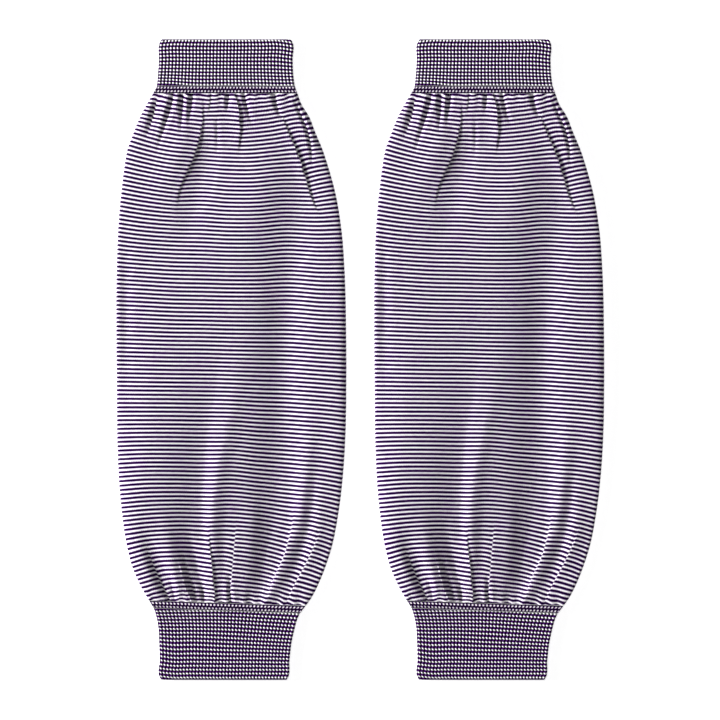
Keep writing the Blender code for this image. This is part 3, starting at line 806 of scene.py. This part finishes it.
ends = (BODY_FROM, BODY_TO)
half_purple = PURPLE_SHARE / 2
pairs = np.arange(*BODY_PAIRS)[:, None] + np.array([0.0, half_purple, 0.5, 1 - half_purple])
level = FIRST_PAIR + PAIR_PITCH * pairs.ravel()
level = np.concatenate([[level[0] - SLEEVE_LENGTH], level, [level[-1] + SLEEVE_LENGTH]])
station = course_stations(level, BODY_STEPS, ends, body_edge, drawn_places, stepped_sag)
pair, front, front_x = body_courses(station)
outer = tube_points(station, BODY_STEPS, body_edge, front_x + flap_overhang(front_x, front),
                    body_top(front_x, front), 0.0, body_relief(pair))
outer_knit = closed_knit(wales_round(outer, BODY_WALES), pair)

station = np.linspace(*ends, BODY_INSIDE_RINGS)[:, None] + np.zeros(outer.shape[1])
pair, front, front_x = body_courses(station)
nearby = [body_top(front_x + across * MM, front + along * MM)
          for across in NEAR_ACROSS for along in NEAR_ALONG]
inside_z = np.maximum(np.min(nearby, axis=0) - BODY_WALL, BODY_WALL + LAYER_GAP)
inner = tube_points(station, BODY_STEPS, body_edge, front_x, inside_z, BODY_WALL, 0.0)
inner_knit = closed_knit(wales_round(inner, BODY_WALES), pair)
body_mesh = shell_mesh("body", outer, outer_knit, inner, inner_knit, striped_knit())
bodies = place_pair("body", body_mesh)

# The ribbed cuffs: tubes of thick one-by-one rib, knitted like the body with a purple and a white
# course in turn. White shows only on the crests of the ribs, as rows of dots, and the valleys
# between them are darkened with painted shade. The lower cuff is taller, and its dots lean.

# Ribs and mesh steps across the front, round a side fold and across the back.
RIBS = (39, 3, 39)
CUFF_STEPS = (234, 12, 78)
CUFF_INSIDE_RINGS = 12
RINGS_PER_ROW = 8
SPARE_ROWS = 2

# The height of a cuff that lies flat and its wall, how deep its ribs and the steps between its rows
# are, and over what reach and how far the hem rounds down.
CUFF_HEIGHT = 0.0042
CUFF_WALL = 0.00195
RIB_DEPTH = 0.0007
ROW_DEPTH = 0.0003
HEM_ROUND = 0.0012
HEM_SINK = 0.0009

# Where each cuff starts and ends, which end is its hem, the pitch of its rows and the place of the
# first one, in mm, and how far its dots lean, in thousandths of a rib.
CUFF_COLUMNS = ("start", "end", "hem", "pitch", "first", "lean")
CUFFS = {
    "upper_cuff": (0.0, 29.0, 0.0, 2.285, -0.08, 50),
    "lower_cuff": (357.0, 400.0, 400.0, 2.43, 355.885, 140),
}

# How far a row of a cuff hangs below its level, in mm, as in the body's table.
CUFF_SAG_SHARES = (0.0, 0.10, 0.25, 0.50, 0.75, 0.90, 1.0)
CUFF_SAG = {
    "upper_cuff": (
        (1.0, 0.6, 0.0, 0.0, 0.1, 0.0, 0.0, 1.3),
        (10.0, 0.5, 0.2, 0.3, 0.3, 0.2, 0.3, 1.4),
        (20.0, 0.1, 0.1, 0.3, 0.4, 0.5, 0.8, 1.2),
        (28.0, -1.4, -1.2, -0.1, -0.1, 0.0, 0.2, 0.1),
    ),
    "lower_cuff": (
        (357.0, 2.0, 1.5, 0.8, -0.1, 0.0, 0.2, 0.4),
        (366.0, 0.2, 0.0, -0.4, -0.7, -0.1, 0.4, 0.8),
        (376.0, -1.0, -0.5, -0.8, -0.3, 0.2, 0.6, 0.9),
        (386.0, -0.9, 0.1, 0.0, 0.1, 0.1, 0.2, 0.3),
        (396.0, -0.9, 0.0, 0.0, 0.1, 0.0, 0.0, 0.0),
    ),
}

# The yarn of the ribs: purple that darkens down a rib's flank into painted shade, how far a dot
# reaches from its row and the painted shade of its white down in a valley, how it blends and
# narrows towards the valley, and how deep the bump is.
PAINTED_SHADE_PURPLE = (0.003, 0.0005, 0.007, 1.0)
CREST_PURPLE = (0.050, 0.004, 0.110, 1.0)
RIB_LOOKS = {
    "upper_cuff": (0.21, (0.08, 0.06, 0.10, 1.0)),
    "lower_cuff": (0.185, (0.02, 0.015, 0.03, 1.0)),
}
FLANK_EDGES = (0.16, 0.40)
DOT_EDGES, DOT_NARROWING, DOT_FIBRES = (-0.05, 0.05), 0.6, 0.10
RIB_FIBRES, RIB_BUMP = 0.6, 0.0002


def cuff_edge(station):
    """The height of a cuff's side folds, the same at every station."""
    return CUFF_HEIGHT + 0 * station


def count_round(steps, counts):
    """A count that runs evenly round a ring, by these amounts on the front, each side fold and the
    back, with one more column than there are points round the ring."""
    front, side, back = steps
    places = np.cumsum([0, front, side, back, side])
    values = np.cumsum([0, counts[0], counts[1], counts[2], counts[1]])
    return np.interp(np.arange(places[-1] + 1), places, values)


def ribbed(rib, pair):
    """How far a rib knit sinks: by the whole depth in the valleys, at whole numbers of rib, and on
    the crests between the white rows."""
    crest = np.abs(np.sin(np.pi * rib))
    row = (1 + np.cos(2 * np.pi * pair)) / 2
    return -RIB_DEPTH * (1 - crest) - ROW_DEPTH * row * crest


def ribbed_knit(name, dot_size, dot_shade):
    """Rib knit: purple, with a white dot on each crest in every other course, and both darken down
    the flanks into painted shade in the valleys. dot_size is how far a dot reaches from its row,
    and dot_shade is the painted shade of its white where it runs down into a valley."""
    material, rib, pair, place = yarn_material(name)
    fibres = place.noise(FIBRE_SCALE, NOISE_DETAIL)
    valley = rib.off_middle()
    off_row = pair.off_middle() + fibres * DOT_FIBRES
    dot = (dot_size - off_row - valley * valley * DOT_NARROWING).between(*DOT_EDGES)
    # Painted shade: the purple and the white of the dots darken from the crest down each flank into the
    # valley.
    depth = valley.between(*FLANK_EDGES)
    purple = depth.blend(CREST_PURPLE, PAINTED_SHADE_PURPLE)
    white = depth.blend(WHITE_YARN, dot_shade)
    return finish_yarn(material, dot.blend(purple, white), fibres * RIB_FIBRES - valley, RIB_BUMP)


def level_tube(station, steps, edge_height, inset, relief):
    """Points of a tube whose front lies level with its side folds, as on the cuffs and the bands."""
    front_z = edge_height(split_round(station, steps)[0]) - inset
    front_x = front_places(station, steps, edge_height)
    return tube_points(station, steps, edge_height, front_x, front_z, inset, relief)


def rib_tube(name, steps, counts, cuff, sag, material):
    """The mesh of one cuff, with rings that follow its rows."""
    ends = (cuff["start"], cuff["end"])
    rows = round((cuff["end"] - cuff["start"]) / cuff["pitch"])
    first, last = -SPARE_ROWS * RINGS_PER_ROW, (rows + SPARE_ROWS) * RINGS_PER_ROW
    pairs = np.arange(first, last + 1) / RINGS_PER_ROW
    level = cuff["first"] + cuff["pitch"] * pairs
    station = course_stations(level, steps, ends, cuff_edge, front_places, sag)
    hang = hang_round(station, steps, cuff_edge, front_places, sag)
    pair = (station - hang - cuff["first"]) / cuff["pitch"]
    rib = count_round(steps, counts) + 0 * station[:, :1]
    lean = cuff["lean"] * np.sin(2 * np.pi * (pair - 0.5))
    rib[:, :-1] -= lean
    rib[:, -1] -= lean[:, 0]
    near_hem = np.maximum(1 - np.abs(station - cuff["hem"]) / HEM_ROUND, 0)
    relief = ribbed(rib[:, :-1], pair) - HEM_SINK * near_hem ** 2
    outer = level_tube(station, steps, cuff_edge, 0.0, relief)
    outer_knit = closed_knit(rib, pair)

    inside = np.linspace(*ends, CUFF_INSIDE_RINGS)[:, None] + np.zeros(station.shape[1])
    inner = level_tube(inside, steps, cuff_edge, CUFF_WALL, 0.0)
    pair = (inside - cuff["first"]) / cuff["pitch"]
    inner_knit = closed_knit(count_round(steps, counts) + 0 * inside[:, :1], pair)
    return shell_mesh(name, outer, outer_knit, inner, inner_knit, material)


for part, row in CUFFS.items():
    cuff = columns_of(row, CUFF_COLUMNS)
    sag = table_sag(CUFF_SAG[part], CUFF_SAG_SHARES)
    rib_material = ribbed_knit(part + "_rib", *RIB_LOOKS[part])
    mesh = rib_tube(part, CUFF_STEPS, RIBS, cuff, sag, rib_material)
    place_pair(part, mesh)

# The joining bands: narrow welts of dark yarn between the body and the cuffs, where the gathered
# body is linked on. Each has two rows of round purple loops with a speck of white in them, and the
# gaps between the loops are painted shade.

# Loops and mesh steps across the front, round a side fold and across the back.
LOOPS = (42, 3, 42)
BAND_STEPS = (252, 12, 84)
BAND_COLUMNS = ("start", "end")
BANDS = {
    "upper_band": (29.3, 33.7),
    "lower_band": (352.3, 356.7),
}
BAND_ROWS = 2
RINGS_PER_LOOP = 7
BAND_INSIDE_RINGS = 4

# How high a band swells over the cuffs, how deep its loops are, their radius and width as shares of
# half a loop, where the pale middle ends and where the painted shade outside the rim starts, as
# shares of the same, and the slip that keeps the last ring in the last row.
BAND_SWELL = 0.0006
LOOP_DEPTH = 0.0006
LOOP_RADIUS, LOOP_WIDTH = 0.55, 0.28
LOOP_HEART = (0.90, 0.85, 0.89, 1.0)
HEART_EDGES, RIM_EDGES = (0.40, 0.58), (0.66, 0.96)
LOOP_FIBRES, LOOP_BUMP = 0.3, 0.0002
ROW_SLIP = 1e-6


def band_edge_of(band):
    """The height of a band: a low round swell over the height of the cuffs."""
    middle, half = (band["start"] + band["end"]) / 2, (band["end"] - band["start"]) / 2

    def edge(station):
        return CUFF_HEIGHT + BAND_SWELL * (1 - ((station - middle) / half) ** 2)

    return edge


def looped(loop, row):
    """How far a row of loops sinks off its rings, whose distance from the middle of a loop is the
    loop radius. Every other row stands half a loop along."""
    shifted = loop + 0.5 * (np.floor(row) % 2)
    across, along = 2 * (shifted % 1 - 0.5), 2 * (row % 1 - 0.5)
    ring = np.exp(-((np.hypot(across, along) - LOOP_RADIUS) / LOOP_WIDTH) ** 2)
    return LOOP_DEPTH * (ring - 1)


def linking_courses():
    """Purple yarn in rings, each with a pale middle, with painted shade in the gaps between the rings.
    """
    material, loop, row, place = yarn_material("linking_courses")
    fibres = place.noise(FIBRE_SCALE, NOISE_DETAIL)
    row_in_two = (row * 0.5).maths("FRACT")
    second = row_in_two.maths("GREATER_THAN", row_in_two, 0.5)
    across = (loop + second * 0.5).off_middle() * 2.0
    along = row.off_middle() * 2.0
    distance = (across * across + along * along).maths("SQRT") + fibres * LOOP_FIBRES
    # Painted shade: outside its rim a loop turns to the near-black purple of the gaps.
    ring = distance.between(*RIM_EDGES).blend(CREST_PURPLE, PAINTED_SHADE_PURPLE)
    colour = distance.between(*HEART_EDGES).blend(LOOP_HEART, ring)
    return finish_yarn(material, colour, fibres * RIB_FIBRES, LOOP_BUMP)


def band_rings(band, count):
    """Evenly spaced rings of a band: the loop and the row at every point, and its station."""
    rows = np.linspace(0, BAND_ROWS, count)[:, None]
    loops = count_round(BAND_STEPS, LOOPS) + 0 * rows
    station = band["start"] + (band["end"] - band["start"]) * rows / BAND_ROWS + 0 * loops[:, :-1]
    return loops, rows + 0 * station, station


band_material = linking_courses()
for part, places in BANDS.items():
    band = columns_of(places, BAND_COLUMNS)
    loops, row, station = band_rings(band, BAND_ROWS * RINGS_PER_LOOP + 1)
    relief = looped(loops[:, :-1], np.minimum(row, BAND_ROWS - ROW_SLIP))
    outer = level_tube(station, BAND_STEPS, band_edge_of(band), 0.0, relief)
    outer_knit = closed_knit(loops, row)
    loops, row, station = band_rings(band, BAND_INSIDE_RINGS)
    inner = level_tube(station, BAND_STEPS, cuff_edge, CUFF_WALL, 0.0)
    mesh = shell_mesh(part, outer, outer_knit, inner, closed_knit(loops, row), band_material)
    place_pair(part, mesh)
